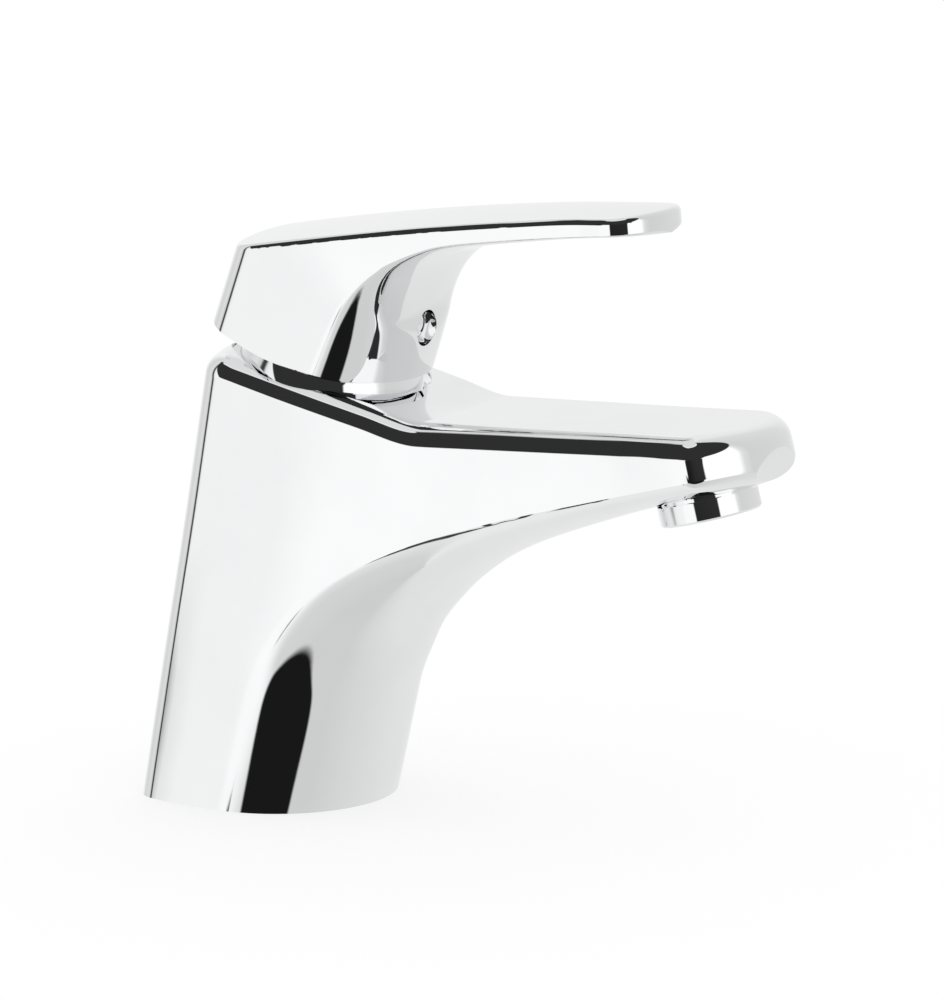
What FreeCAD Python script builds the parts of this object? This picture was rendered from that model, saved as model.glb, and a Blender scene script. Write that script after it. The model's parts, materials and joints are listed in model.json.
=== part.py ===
import FreeCAD, Part
import math
import os
import Sketcher

# Single-lever basin mixer. Millimetres. X runs forward along the spout, Y to the left, Z up.
# The origin is the centre of the base on the basin deck.

doc = FreeCAD.newDocument("basin_mixer")
sheet = doc.addObject("Spreadsheet::Sheet", "Sizes")
V = FreeCAD.Vector

# Driving dimensions
SIZES = (
    # base and column
    ("base_width", 58.4, "greatest width of the foot"),
    ("base_back", 29.9, "origin to the middle of the back at the deck"),
    ("back_bow", 4.0, "how far the middle of the back stands out past its corners"),
    ("column_lean", 9.9, "forward lean of the back, degrees"),
    ("back_corner_radius", 7.0, "rounding of the two back corners"),
    # the line where each flat side turns into the rounded front and underside
    ("foot_x", -1.0, "turn line at the deck"),
    ("shin_x", 4.5, "turn line, lower column"),
    ("shin_z", 23.0, "turn line, lower column"),
    ("knee_x", 9.0, "turn line, upper column"),
    ("knee_z", 39.2, "turn line, upper column"),
    ("bend_x", 21.1, "turn line, start of the bend"),
    ("bend_z", 55.0, "turn line, start of the bend"),
    ("throat_x", 34.3, "turn line, middle of the bend"),
    ("throat_z", 62.7, "turn line, middle of the bend"),
    ("root_x", 50.1, "turn line, root of the spout"),
    ("root_z", 70.0, "turn line, root of the spout"),
    ("span_x", 71.6, "turn line, middle of the spout"),
    ("span_z", 77.2, "turn line, middle of the spout"),
    ("tip_back", 9.3, "turn line over the outlet, behind the outlet's middle"),
    ("tip_rise", 8.2, "turn line over the outlet, above the outlet"),
    ("foot_depth", 27.9, "how far the rounded front stands out from the turn line at the deck"),
    ("shin_depth", 27.9, "depth of the half round there"),
    ("knee_depth", 26.9, "the same at the upper column"),
    ("bend_depth", 24.0, "the same at the start of the bend"),
    ("throat_depth", 18.5, "the same at the middle of the bend"),
    ("root_depth", 11.8, "the same at the root of the spout"),
    ("span_depth", 7.2, "the same at the middle of the spout"),
    ("tip_depth", 5.4, "the same over the outlet"),
    ("side_bend", 45.0, "length over which the column's sides draw in towards the back"),
    ("side_draw", 6.0, "how far each side draws in at the foot"),
    ("knee_draw", 5.0, "the same at the knee"),
    ("bend_draw", 2.5, "the same at the bend"),
    ("throat_draw", 0.6, "the same at the throat"),
    ("shin_width", 57.8, "width there"),
    ("knee_width", 56.6, "width there"),
    ("bend_width", 55.2, "width there"),
    ("throat_width", 52.4, "width there"),
    ("root_width", 49.4, "width of the spout at its root"),
    ("span_width", 46.6, "width of the spout at its middle"),
    ("tip_width", 44.0, "width of the spout over the outlet"),
    ("nose_ahead", 18.1, "front of the spout, ahead of the outlet's middle"),
    ("nose_corner_radius", 7.0, "plan rounding of the nose corners"),
    ("nose_turn", 42.0, "turn of the nose corners before the bowed front starts, degrees"),
    ("nose_tuck", 2.0, "how far the underside lifts at the nose"),
    # top of the body
    ("seat_x", 14.2, "where the cartridge axis meets the top plane"),
    ("seat_height", 105.9, "height of that point"),
    ("rim_tilt", 12.5, "forward fall of the top plane, degrees"),
    ("hump_x", 37.5, "front end of the top plane"),
    ("spout_top_x", 52.0, "back end of the spout's top"),
    ("spout_top_drop", 8.0, "seat down to the back end of the spout's top"),
    ("spout_top_rise", 22.32, "spout's top above the outlet centre"),
    ("hump_ease", 4.5, "length of the easing between top plane and spout top"),
    ("rim_radius", 5.5, "rounding of the top edges"),
    ("dish_radius", 24.2, "round recess that the dome ring stands in"),
    ("dish_depth", 3.2, "depth of that recess along the cartridge axis"),
    # cartridge chamber
    ("cartridge_tilt", 10.3, "forward lean of the cartridge axis, degrees"),
    ("chamber_depth", 39.2, "top plane to chamber floor along the cartridge axis"),
    ("cartridge_radius", 17.4, "outer radius of the cartridge"),
    ("chamber_clearance", 0.2, "cartridge to chamber wall, radial"),
    ("nut_radius", 18.95, "outer radius of the retaining nut's thread"),
    ("thread_clearance", 0.05, "radial gap kept at every screwed joint"),
    ("nut_thread_length", 8.0, "length of the nut's thread below the recess floor"),
    ("run_out", 10.0, "how far a cut runs past the face it opens through"),
    ("seat_gap", 0.05, "gap kept where two pieces seat on each other"),
    ("slide_gap", 0.05, "gap kept at turning and sliding faces"),
    # water ways in the body
    ("port_radius", 3.4, "inlet and outlet ports of the cartridge"),
    ("port_circle", 8.5, "radius of the circle the ports lie on"),
    ("inlet_angle", 60.0, "inlet ports, degrees either side of straight back"),
    ("drop_length", 17.0, "outlet port depth below the chamber floor"),
    ("feed_radius", 3.2, "passage from the outlet port to the spout"),
    ("feed_aim_x", 41.0, "where that passage meets the hollow in the spout"),
    ("core_root_x", 38.0, "back end of the hollow in the spout"),
    ("core_root_floor", 64.0, "height of its floor there"),
    ("core_root_roof", 94.0, "height of its roof there"),
    ("core_root_width", 40.0, "its width there"),
    ("core_tip_back", 1.3, "front end of the hollow in the spout, behind the outlet's middle"),
    ("core_tip_floor", 14.5, "height of its floor there, above the outlet"),
    ("core_tip_roof", 17.3, "height of its roof there, above the outlet"),
    ("core_tip_width", 26.0, "its width there"),
    # underside of the base
    ("cavity_radius", 18.8, "open hollow under the base"),
    ("cavity_forward", 1.5, "that hollow, forward of the tap hole's middle"),
    ("cavity_height", 42.0, "height of that hollow"),
    ("hose_thread_radius", 4.5, "tapped radius of the two hose sockets"),
    ("hose_thread_length", 12.0, "depth of the hose sockets"),
    ("stud_thread_radius", 3.4, "tapped radius of the stud socket"),
    ("stud_thread_length", 14.0, "depth of the stud socket"),
    ("stud_back", 7.0, "stud socket behind the origin"),
    ("seal_inner_radius", 20.8, "inner radius of the base seal"),
    ("seal_outer_radius", 23.4, "outer radius of the base seal"),
    ("seal_height", 2.0, "height of the base seal"),
    ("seal_clearance", 0.1, "base seal to its groove, radial"),
    # cartridge, heights above the chamber floor
    ("base_height", 7.0, "height of the cartridge base"),
    ("port_seal_width", 1.7, "radial width of a port seal"),
    ("port_seal_height", 1.0, "height of a port seal"),
    ("peg_radius", 1.5, "locating pegs under the cartridge base"),
    ("peg_length", 3.0, "length of the pegs"),
    ("peg_offset", 13.0, "pegs either side of the axis"),
    ("peg_clearance", 0.1, "pegs in their holes, radial"),
    ("disc_radius", 14.5, "fixed ceramic disc"),
    ("disc_height", 3.0, "thickness of either ceramic disc"),
    ("disc_seal_height", 1.0, "seal under the fixed disc"),
    ("slider_radius", 10.5, "moving ceramic disc"),
    ("slider_offset", 2.5, "moving disc behind the axis when shut"),
    ("slider_pocket_radius", 6.5, "water pocket under the moving disc"),
    ("slider_pocket_depth", 1.5, "depth of that pocket"),
    ("carrier_plate", 2.5, "plate of the disc carrier"),
    ("key_width", 12.0, "sliding key on the disc carrier, across"),
    ("key_length", 16.0, "sliding key, along"),
    ("key_height", 3.6, "sliding key, height above the plate"),
    ("key_clearance", 0.1, "key in the turret's groove, each side"),
    ("housing_wall", 2.4, "wall of the cartridge housing"),
    ("turret_radius", 10.9, "turret barrel"),
    ("turret_flange_radius", 14.4, "turret flange under the housing's step"),
    ("turret_flange_height", 4.2, "height of the turret flange"),
    ("turret_top", 41.0, "top of the turret"),
    ("shoulder_height", 32.5, "shoulder of the housing"),
    ("neck_top", 39.0, "top of the housing's neck"),
    ("neck_wall", 1.45, "wall of the housing's neck"),
    ("limit_ring_height", 1.5, "temperature limit ring on the neck"),
    ("washer_height", 0.6, "slip washer between shoulder and nut"),
    ("nut_hex", 26.0, "nut's hexagon across flats"),
    ("nut_hex_height", 3.4, "height of the hexagon"),
    ("ring_groove_height", 1.8, "groove for either round seal"),
    ("chamber_seal_height", 12.0, "height of the housing's seal groove"),
    ("chamber_seal_depth", 1.2, "depth of that groove"),
    ("turret_seal_height", 22.0, "height of the turret's seal groove"),
    ("turret_seal_depth", 1.1, "depth of that groove"),
    # stem and lever joint
    ("pivot_height", 33.0, "pivot pin above the chamber floor"),
    ("pin_radius", 1.5, "pivot pin"),
    ("pin_length", 20.0, "length of the pivot pin"),
    ("stem_width", 8.0, "square stem"),
    ("stem_top", 62.0, "top of the stem"),
    ("stem_square_foot", 24.0, "lower end of the square"),
    ("ball_height", 14.4, "centre of the ball at the stem's foot"),
    ("ball_radius", 3.0, "ball at the stem's foot"),
    ("stem_neck", 2.2, "neck over the ball"),
    ("ball_seat", 0.8, "wall under the ball in the disc carrier"),
    ("stem_slot_side", 0.15, "stem to the turret's slot, each side"),
    ("stem_slot_back", 6.6, "turret's slot behind the axis"),
    ("stem_slot_front", 8.8, "turret's slot ahead of the axis"),
    ("dome_radius", 22.8, "dome ring, a ball zone about the pivot"),
    ("dome_wall", 1.5, "wall of the dome ring"),
    ("dome_mouth", 17.5, "radius of the dome ring's upper opening"),
    ("dome_lip", 1.6, "height of the lip that screws on the nut"),
    ("cover_gap", 0.4, "lever to dome ring all round"),
    # lever outside
    ("lever_width", 44.8, "width of the lever's block"),
    ("joint_height", 41.6, "lower edge of the block above the chamber floor"),
    ("heel_start", 3.0, "where the lever's lower edge starts to sweep up, behind the axis"),
    ("heel_ease", 8.0, "easing of that sweep"),
    ("heel_end", 34.0, "far end of that sweep, behind the axis"),
    ("heel_rise", 8.6, "rise of that sweep at its end"),
    ("heel_x", -24.5, "middle of the block's back at the heel height, ahead of the seat"),
    ("heel_z", 8.8, "height of that point above the seat"),
    ("heel_lean", 19.5, "forward lean of the block's back, degrees"),
    ("heel_bow", 1.4, "how far the middle of the block's back stands out"),
    ("heel_corner_radius", 7.0, "rounding of the block's back corners"),
    ("chin_x", 7.1, "lever turn line at the joint, ahead of the seat"),
    ("chin_z", 2.1, "lever turn line at the joint, above the seat"),
    ("jaw_x", 13.2, "lever turn line, middle of the block, ahead of the seat"),
    ("jaw_z", 15.7, "lever turn line, middle of the block, above the seat"),
    ("cheek_x", 17.7, "lever turn line, top of the block, ahead of the seat"),
    ("cheek_z", 21.8, "lever turn line, top of the block, above the seat"),
    ("brow_x", 26.0, "lever turn line, start of the blade, ahead of the seat"),
    ("brow_z", 28.1, "lever turn line, start of the blade, above the seat"),
    ("blade_root_x", 36.9, "lever turn line, root of the blade, ahead of the seat"),
    ("blade_root_z", 32.9, "lever turn line, root of the blade, above the seat"),
    ("blade_x", 44.8, "lever turn line, middle of the blade, ahead of the seat"),
    ("blade_z", 35.3, "lever turn line, middle of the blade, above the seat"),
    ("blade_end_x", 75.8, "lever turn line, end of the blade, ahead of the seat"),
    ("blade_end_z", 38.5, "lever turn line, end of the blade, above the seat"),
    ("chin_depth", 17.2, "rounded front of the block at the joint"),
    ("jaw_depth", 14.9, "the same at the middle of the block"),
    ("cheek_depth", 12.6, "the same at the top of the block"),
    ("brow_depth", 4.9, "the same at the start of the blade"),
    ("blade_root_depth", 2.3, "the same at the root of the blade"),
    ("blade_depth", 2.2, "the same at the middle of the blade"),
    ("blade_end_depth", 1.3, "the same at the end of the blade"),
    ("brow_width", 42.6, "width of the lever at the start of the blade"),
    ("blade_root_width", 39.7, "width of the blade at its root"),
    ("blade_mid_width", 37.5, "width of the blade at its middle"),
    ("blade_end_width", 28.5, "width of the blade at its end"),
    ("lever_tip_x", 92.0, "tip of the lever, ahead of the seat"),
    ("lever_tip_radius", 9.0, "plan rounding of the tip's corners"),
    ("lever_tip_turn", 60.0, "turn of those corners before the bowed tip starts, degrees"),
    ("lever_top_z", 40.54, "middle of the lever's top, half way to its tip, above the seat"),
    ("lever_slope", 6.46, "rise of the lever's top there, degrees"),
    ("lever_sweep", 760.0, "radius of the lever's top along its length"),
    ("lever_crown", 150.0, "radius of the lever's crowned top"),
    ("lever_edge_radius", 1.6, "rounding of the lever's top edges"),
    # lever inside
    ("socket_clearance", 0.05, "stem in its socket, each side"),
    ("boss_radius", 7.5, "boss round the stem's socket"),
    ("boss_foot", 49.0, "lower end of the boss"),
    ("lever_core_radius", 18.0, "hollow round the boss"),
    ("lever_core_top", 66.0, "roof of that hollow above the chamber floor"),
    ("screw_height", 54.1, "set screw above the chamber floor"),
    ("screw_radius", 2.45, "set screw"),
    ("screw_length", 10.0, "set screw"),
    ("screw_key_radius", 1.3, "hexagon key hole in the set screw"),
    ("screw_key_depth", 3.0, "depth of the key hole"),
    ("plug_radius", 4.3, "index plug"),
    ("plug_clearance", 0.05, "index plug in its hole, radial"),
    ("plug_seat", 18.4, "foot of the plug's hole ahead of the axis"),
    ("plug_length", 4.2, "index plug"),
    ("plug_dome", 6.0, "radius of the plug's domed face"),
    # aerator, heights above the outlet plane
    ("reach", 117.3, "base centre to outlet centre"),
    ("outlet_height", 79.0, "deck to outlet centre"),
    ("outlet_tilt", 15.0, "forward aim of the outlet, degrees"),
    ("collar_radius", 12.0, "visible collar of the aerator"),
    ("collar_height", 4.8, "visible collar of the aerator"),
    ("collar_clearance", 0.3, "collar to the spout round it"),
    ("neck_radius", 10.9, "threaded neck of the aerator"),
    ("neck_height", 7.2, "threaded neck of the aerator"),
    ("aerator_bore", 9.6, "bore of the aerator housing"),
    ("aerator_lip_radius", 8.9, "lip that keeps the insert in"),
    ("aerator_lip_height", 1.0, "height of that lip"),
    ("insert_clearance", 0.1, "pieces inside the aerator housing, radial"),
    ("insert_height", 5.0, "honeycomb insert"),
    ("cell_radius", 1.15, "cells of the insert"),
    ("cell_inner_circle", 3.1, "inner circle of cells"),
    ("cell_outer_circle", 6.3, "outer circle of cells"),
    ("screen_height", 0.6, "screen over the insert"),
    ("screen_hole_radius", 0.7, "holes of the screen"),
    ("regulator_height", 3.4, "flow regulator"),
    ("regulator_bore", 2.6, "bore of the flow regulator"),
    ("gasket_height", 1.0, "washer over the aerator's neck"),
    ("gasket_bore", 7.6, "bore of that washer"),
    ("outlet_bore", 7.5, "water way over the aerator"),
    ("outlet_rise", 4.6, "water way above the aerator's washer"),
    ("collar_edge", 0.5, "broken edge of the aerator's collar"),
)

for row, (name, value, note) in enumerate(SIZES, start=1):
    sheet.set("A%d" % row, name)
    sheet.set("B%d" % row, str(value))
    sheet.set("C%d" % row, note)
    sheet.setAlias("B%d" % row, name)
doc.recompute()


def size(name):
    return float(sheet.get(name))


def cells(text):
    """Words of an expression that name a size become references to the sheet."""
    names = {entry[0] for entry in SIZES}
    out = []
    word = ""
    for letter in text + " ":
        if letter.isalnum() or letter == "_":
            word += letter
            continue
        out.append("Sizes." + word if word in names else word)
        out.append(letter)
        word = ""
    return "".join(out).strip()


# Frames: a point and a lean about Y. Pieces on the cartridge axis measure from the chamber floor,
# pieces of the aerator from the outlet plane.
DECK = ("0", "0", "0")
CARTRIDGE = (
    "seat_x - chamber_depth * sin(cartridge_tilt)",
    "seat_height - chamber_depth * cos(cartridge_tilt)",
    "cartridge_tilt",
)
OUTLET = ("reach", "outlet_height", "-outlet_tilt")


def place(item, frame, forward="0", side="0", up="0", turn="0"):
    """Bind an object's place to a frame: forward, side and up are measured in the frame."""
    x, z, lean = frame
    item.Placement = FreeCAD.Placement(V(0, 0, 0), FreeCAD.Rotation(V(0, 1, 0), 10))
    spot_x = "(%s) + (%s) * cos(%s) + (%s) * sin(%s)" % (x, forward, lean, up, lean)
    spot_z = "(%s) - (%s) * sin(%s) + (%s) * cos(%s)" % (z, forward, lean, up, lean)
    item.setExpression("Placement.Base.x", cells(spot_x))
    item.setExpression("Placement.Base.y", cells(side))
    item.setExpression("Placement.Base.z", cells(spot_z))
    item.setExpression("Placement.Rotation.Angle", cells("(%s) + (%s)" % (lean, turn)))
    return item


def bind(item, **sizes):
    for prop, text in sizes.items():
        item.setExpression(prop, cells(text))
    return item


def cylinder(name, frame, radius, height, forward="0", side="0", up="0", turn="0"):
    item = doc.addObject("Part::Cylinder", name)
    bind(item, Radius=radius, Height=height)
    return place(item, frame, forward, side, up, turn)


def box(name, frame, length, width, height, forward="0", side="0", up="0"):
    item = doc.addObject("Part::Box", name)
    bind(item, Length=length, Width=width, Height=height)
    return place(item, frame, forward, side, up)


def cut(name, base, tools):
    """Take every tool away from the base."""
    item = doc.addObject("Part::Cut", name)
    item.Base = base
    item.Tool = join(name + "_tools", tools)
    return item


def join(name, items):
    if len(items) == 1:
        return items[0]
    item = doc.addObject("Part::MultiFuse", name)
    item.Shapes = items
    return item


def origin_plane(body, role):
    return [f for f in body.Origin.OriginFeatures if f.Role == role][0]


def spot(sketch, edge, end, across, along):
    """Tie one end of a sketch edge to a radius and a height."""
    for kind, text in (("DistanceX", across), ("DistanceY", along)):
        index = sketch.addConstraint(Sketcher.Constraint(kind, -1, 1, edge, end, 1.0))
        sketch.setExpression("Constraints[%d]" % index, cells(text))


def draw(sketch, corners):
    """Closed outline through corners given as (across, along) expressions."""
    count = len(corners)
    start = [V(math.cos(i * math.tau / count), math.sin(i * math.tau / count), 0) for i in range(count)]
    for i in range(count):
        sketch.addGeometry(Part.LineSegment(start[i], start[(i + 1) % count]), False)
    for i in range(count):
        sketch.addConstraint(Sketcher.Constraint("Coincident", i, 2, (i + 1) % count, 1))
    for i in range(count):
        spot(sketch, i, 1, *corners[i])


def turned(name, frame, corners, **where):
    """A piece turned about its frame's axis from an outline of (radius, height) corners."""
    body = doc.addObject("PartDesign::Body", name)
    sketch = body.newObject("Sketcher::SketchObject", name + "_outline")
    sketch.AttachmentSupport = (origin_plane(body, "XZ_Plane"), [""])
    sketch.MapMode = "FlatFace"
    draw(sketch, corners)
    spin = body.newObject("PartDesign::Revolution", name + "_turn")
    spin.Profile = sketch
    spin.ReferenceAxis = (sketch, ["V_Axis"])
    spin.Angle = 360.0
    body.Tip = spin
    place(body, frame, **where)
    return body


def ring(name, frame, inner, outer, low, high, **where):
    outline = ((inner, low), (outer, low), (outer, high), (inner, high))
    return turned(name, frame, outline, **where)


doc.recompute()


# Outer skins. Each cross-section is a half ellipse whose ends lie on the turn line, with a side behind
# each end; its plane stands square to that line. On the column the sides draw in towards the back.
SECTIONS_PER_POINT = 3
END_STEPS = 12
END_ANGLE = 88  # a rounded end stops here, short of its very point
CORNER_ZONE = 0.75  # share of the half width beyond which an upright edge counts as a corner
LEAST_UPWARD = 0.8  # a face whose normal rises more than this looks up


def eased(points, depths, widths, insets):
    """Cross-sections along a smooth run whose control points are the given ones."""
    line = Part.BSplineCurve()
    line.buildFromPoles([V(x, 0, z) for x, z in points], False, 3)
    girth = Part.BSplineCurve()
    girth.buildFromPoles([V(*sizes) for sizes in zip(depths, widths, insets)], False, 3)
    count = SECTIONS_PER_POINT * len(points)
    run = []
    for i in range(count + 1):
        part = i / count
        spread = girth.value(part)
        run.append((line.value(part), line.tangent(part)[0], spread.x, spread.y, spread.z))
    return run


def half_oval(at, depth, side):
    """Half an ellipse from one side, over the depth, to the other side."""
    if depth.Length > side.Length:
        return Part.Arc(Part.Ellipse(at + depth, at - side, at), -math.pi / 2, math.pi / 2)
    return Part.Arc(Part.Ellipse(at + side, at + depth, at), 0, math.pi)


def half_round(sections, bend, reach):
    """Loft the sections: each side draws in over the length of the bend, then runs straight back."""
    wires = []
    for at, along, depth, width, inset in sections:
        out = V(along.z, 0, -along.x)
        edges = [half_oval(at, out * depth, V(0, width / 2, 0)).toShape()]
        steps = ((0, 0), (bend / 3, 0), (2 * bend / 3, inset), (bend, inset), (reach, inset))
        right, left = [
            [at - out * back + V(0, sign * (width / 2 - inward), 0) for back, inward in steps]
            for sign in (-1, 1)
        ]
        for poles in (right, left[::-1]):
            side = Part.BSplineCurve()
            side.buildFromPoles(poles, False, 3)
            edges.append(side.toShape())
        edges.insert(2, Part.LineSegment(right[-1], left[-1]).toShape())
        wires.append(Part.Wire(edges))
    return Part.makeLoft(wires, True, False)


def bowed_back(middle, bow, half_chord, reach, lean):
    """Everything ahead of a leaning back that is bowed in plan."""
    radius = (half_chord ** 2 + bow ** 2) / (2 * bow)
    drop = radius - math.sqrt(radius ** 2 - half_chord ** 2)
    left = middle + V(drop, half_chord, 0)
    right = middle + V(drop, -half_chord, 0)
    slope = half_chord / (radius - drop)
    far_left = left + V(half_chord * slope, half_chord, 0)
    far_right = right + V(half_chord * slope, -half_chord, 0)
    ahead = V(reach, 0, 0)
    outline = Part.Wire([
        Part.Arc(left, middle, right).toShape(),
        Part.LineSegment(right, far_right).toShape(),
        Part.LineSegment(far_right, far_right + ahead).toShape(),
        Part.LineSegment(far_right + ahead, far_left + ahead).toShape(),
        Part.LineSegment(far_left + ahead, far_left).toShape(),
        Part.LineSegment(far_left, left).toShape(),
    ])
    return Part.Face(outline).extrude(V(math.tan(math.radians(lean)) * reach, 0, reach))


def side_prism(points, reach, curve=None):
    """A side outline in XZ carried across the whole width; curve is laid in after the second corner."""
    edges = []
    for i in range(len(points)):
        if curve is not None and i == 1:
            edges.append(curve.toShape())
            continue
        edges.append(Part.LineSegment(points[i], points[(i + 1) % len(points)]).toShape())
    face = Part.Face(Part.Wire(edges))
    face.translate(V(0, -reach, 0))
    return face.extrude(V(0, 2 * reach, 0))


def middle_of(edge):
    return edge.valueAt((edge.FirstParameter + edge.LastParameter) / 2)


def upright_edges(shape, half_width, before_x):
    found = []
    for edge in shape.Edges:
        mid = middle_of(edge)
        rise = abs(edge.Vertexes[0].Z - edge.Vertexes[-1].Z)
        if mid.x < before_x and rise > edge.Length / 2 and abs(mid.y) > half_width * CORNER_ZONE:
            found.append(edge)
    return found


def top_edges(shape):
    """Edges with one face looking up on one side only."""
    found = []
    for edge in shape.Edges:
        mid = middle_of(edge)
        faces = shape.ancestorsOfType(edge, Part.Face)
        up = [f for f in faces if f.normalAt(*f.Surface.parameter(mid)).z > LEAST_UPWARD]
        if len(faces) == 2 and len(up) == 1:
            found.append(edge)
    return found


def rounded_end(sections, end_x, corner, turn, tuck):
    """Carry a run of sections straight on to an end whose corners turn into one bowed front."""
    at, along, depth, width, inset = sections[-1]
    turn = math.radians(turn)
    bow = (width / 2 - corner * (1 - math.cos(turn))) / math.cos(turn)
    length = corner * math.sin(turn) + bow * (1 - math.sin(turn))
    for step in range(END_STEPS + 1):
        angle = step / END_STEPS * math.radians(END_ANGLE)
        ahead = corner * math.sin(min(angle, turn))
        inward = corner * (1 - math.cos(min(angle, turn)))
        if angle > turn:
            ahead += bow * (math.sin(angle) - math.sin(turn))
            inward += bow * (math.cos(turn) - math.cos(angle))
        middle = at + along * ((end_x - length + ahead - at.x) / along.x)
        lift = tuck * 2 * inward / width
        sections.append((middle, along, depth - lift, width - 2 * inward, inset))
    return sections


def body_skin():
    reach = size("reach") + size("nose_ahead")
    names = ("shin", "knee", "bend", "throat", "root", "span")
    points = [(size("foot_x"), 0.0)]
    points += [(size(n + "_x"), size(n + "_z")) for n in names]
    points.append((size("reach") - size("tip_back"), size("outlet_height") + size("tip_rise")))
    run = size("run_out")
    lean = (points[1][0] - points[0][0]) / points[1][1]
    points.insert(0, (points[0][0] - run * lean, -run))
    depths = [size("foot_depth")] * 2 + [size(n + "_depth") for n in names + ("tip",)]
    widths = [size("base_width")] * 2 + [size(n + "_width") for n in names + ("tip",)]
    insets = [size("side_draw")] * 3 + [size(n + "_draw") for n in ("knee", "bend", "throat")] + [0] * 3
    sections = eased(points, depths, widths, insets)
    corner = size("nose_corner_radius")
    sections = rounded_end(sections, reach, corner, size("nose_turn"), size("nose_tuck"))
    skin = half_round(sections, size("side_bend"), reach)

    half = size("base_width") / 2 - size("back_corner_radius")
    back = bowed_back(V(-size("base_back"), 0, 0), size("back_bow"), half, reach, size("column_lean"))
    skin = skin.common(back)

    fall = math.radians(size("rim_tilt"))
    down = V(math.cos(fall), 0, -math.sin(fall))
    seat = V(size("seat_x"), 0, size("seat_height"))
    hump = seat + down * ((size("hump_x") - seat.x) / down.x)
    dip = V(size("spout_top_x"), 0, seat.z - size("spout_top_drop"))
    up = V(size("reach"), 0, size("outlet_height") + size("spout_top_rise")) - dip
    up.normalize()
    ease = Part.BezierCurve()
    ease.setPoles([hump, hump + down * size("hump_ease"), dip - up * size("hump_ease"), dip])
    start = seat - down * reach
    end = dip + up * reach
    outline = [start, hump, dip, end, V(end.x, 0, 0), V(start.x, 0, 0)]
    skin = skin.common(side_prism(outline, reach, ease))

    corners = upright_edges(skin, size("base_width") / 2, size("foot_x"))
    skin = skin.makeFillet(size("back_corner_radius"), corners)
    return skin.makeFillet(size("rim_radius"), top_edges(skin))


def lever_skin():
    """The lever's outside, drawn from the seat and then moved there."""
    reach = size("reach") + size("nose_ahead")
    names = ("chin", "jaw", "cheek", "brow", "blade_root", "blade", "blade_end")
    points = [(size(n + "_x"), size(n + "_z")) for n in names]
    run = size("run_out")
    lean = (points[1][0] - points[0][0]) / (points[1][1] - points[0][1])
    points.insert(0, (points[0][0] - run * lean, points[0][1] - run))
    depths = [size("chin_depth")]
    depths += [size(n + "_depth") for n in names]
    widths = [size("lever_width")] * 4
    widths += [size(n + "_width") for n in ("brow", "blade_root", "blade_mid", "blade_end")]
    sections = eased(points, depths, widths, [0] * len(points))
    corner = size("lever_tip_radius")
    sections = rounded_end(sections, size("lever_tip_x"), corner, size("lever_tip_turn"), 0)
    skin = half_round(sections, size("side_bend"), reach)

    half = size("lever_width") / 2 - size("heel_corner_radius")
    low = V(size("heel_x"), 0, size("heel_z")) - V(math.tan(math.radians(size("heel_lean"))), 0, 1) * reach
    back = bowed_back(low, size("heel_bow"), half, 2 * reach, size("heel_lean"))
    skin = skin.common(back)

    # top, crowned across and along
    slope = math.radians(size("lever_slope"))
    crown = size("lever_crown")
    half = size("lever_width")
    drop = crown - math.sqrt(crown ** 2 - half ** 2)
    normal = V(-math.sin(slope), 0, math.cos(slope))
    peak = V(size("lever_tip_x") / 2, 0, size("lever_top_z"))
    left = peak - normal * drop + V(0, half, 0)
    right = peak - normal * drop - V(0, half, 0)
    deep = normal * reach
    outline = Part.Wire([
        Part.Arc(left, peak, right).toShape(),
        Part.LineSegment(right, right - deep).toShape(),
        Part.LineSegment(right - deep, left - deep).toShape(),
        Part.LineSegment(left - deep, left).toShape(),
    ])
    hub = peak - normal * size("lever_sweep")
    swing = math.degrees(reach / size("lever_sweep"))
    face = Part.Face(outline)
    face.rotate(hub, V(0, 1, 0), -swing)
    skin = skin.common(face.revolve(hub, V(0, 1, 0), 2 * swing))
    corners = upright_edges(skin, size("lever_width") / 2, size("chin_x"))
    skin = skin.makeFillet(size("heel_corner_radius"), corners)
    skin = skin.makeFillet(size("lever_edge_radius"), top_edges(skin))

    # lower edge: square to the cartridge axis ahead of it, sweeping up behind it
    tilt = math.radians(size("cartridge_tilt"))
    forward = V(math.cos(tilt), 0, -math.sin(tilt))
    upward = V(math.sin(tilt), 0, math.cos(tilt))
    joint = upward * (size("joint_height") - size("chamber_depth"))
    start = joint - forward * size("heel_start")
    end = joint - forward * size("heel_end") + upward * size("heel_rise")
    sweep = Part.BezierCurve()
    sweep.setPoles([end, start - forward * size("heel_ease"), start])
    outline = [
        end - upward * reach,
        end,
        start,
        joint + forward * reach,
        joint + forward * reach - upward * reach,
    ]
    skin = skin.cut(side_prism(outline, reach, sweep))
    skin.translate(V(size("seat_x"), 0, size("seat_height")))
    return skin


def formed(name, maker):
    item = doc.addObject("Part::Feature", name)
    item.Shape = maker()
    return item


body_form = formed("body_form", body_skin)
lever_form = formed("lever_form", lever_skin)


# Body casting: chamber, water ways, base hollow and outlet bore are taken out of the skin
FLOOR_X, FLOOR_Z, TILT = CARTRIDGE
INLET_BACK = "-port_circle * cos(inlet_angle)"
INLET_SIDE = "port_circle * sin(inlet_angle)"
PORTS = (
    ("left", INLET_BACK, INLET_SIDE),
    ("right", INLET_BACK, "-" + INLET_SIDE),
    ("front", "port_circle", "0"),
)
SIDES = (("left", ""), ("right", "-"))
HOSE_X = "(%s) - port_circle * cos(inlet_angle) * cos(cartridge_tilt)" % FLOOR_X
HOSE_TOP = "(%s) + port_circle * cos(inlet_angle) * sin(cartridge_tilt)" % FLOOR_Z
DISH_FLOOR = "chamber_depth - dish_depth"

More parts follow.
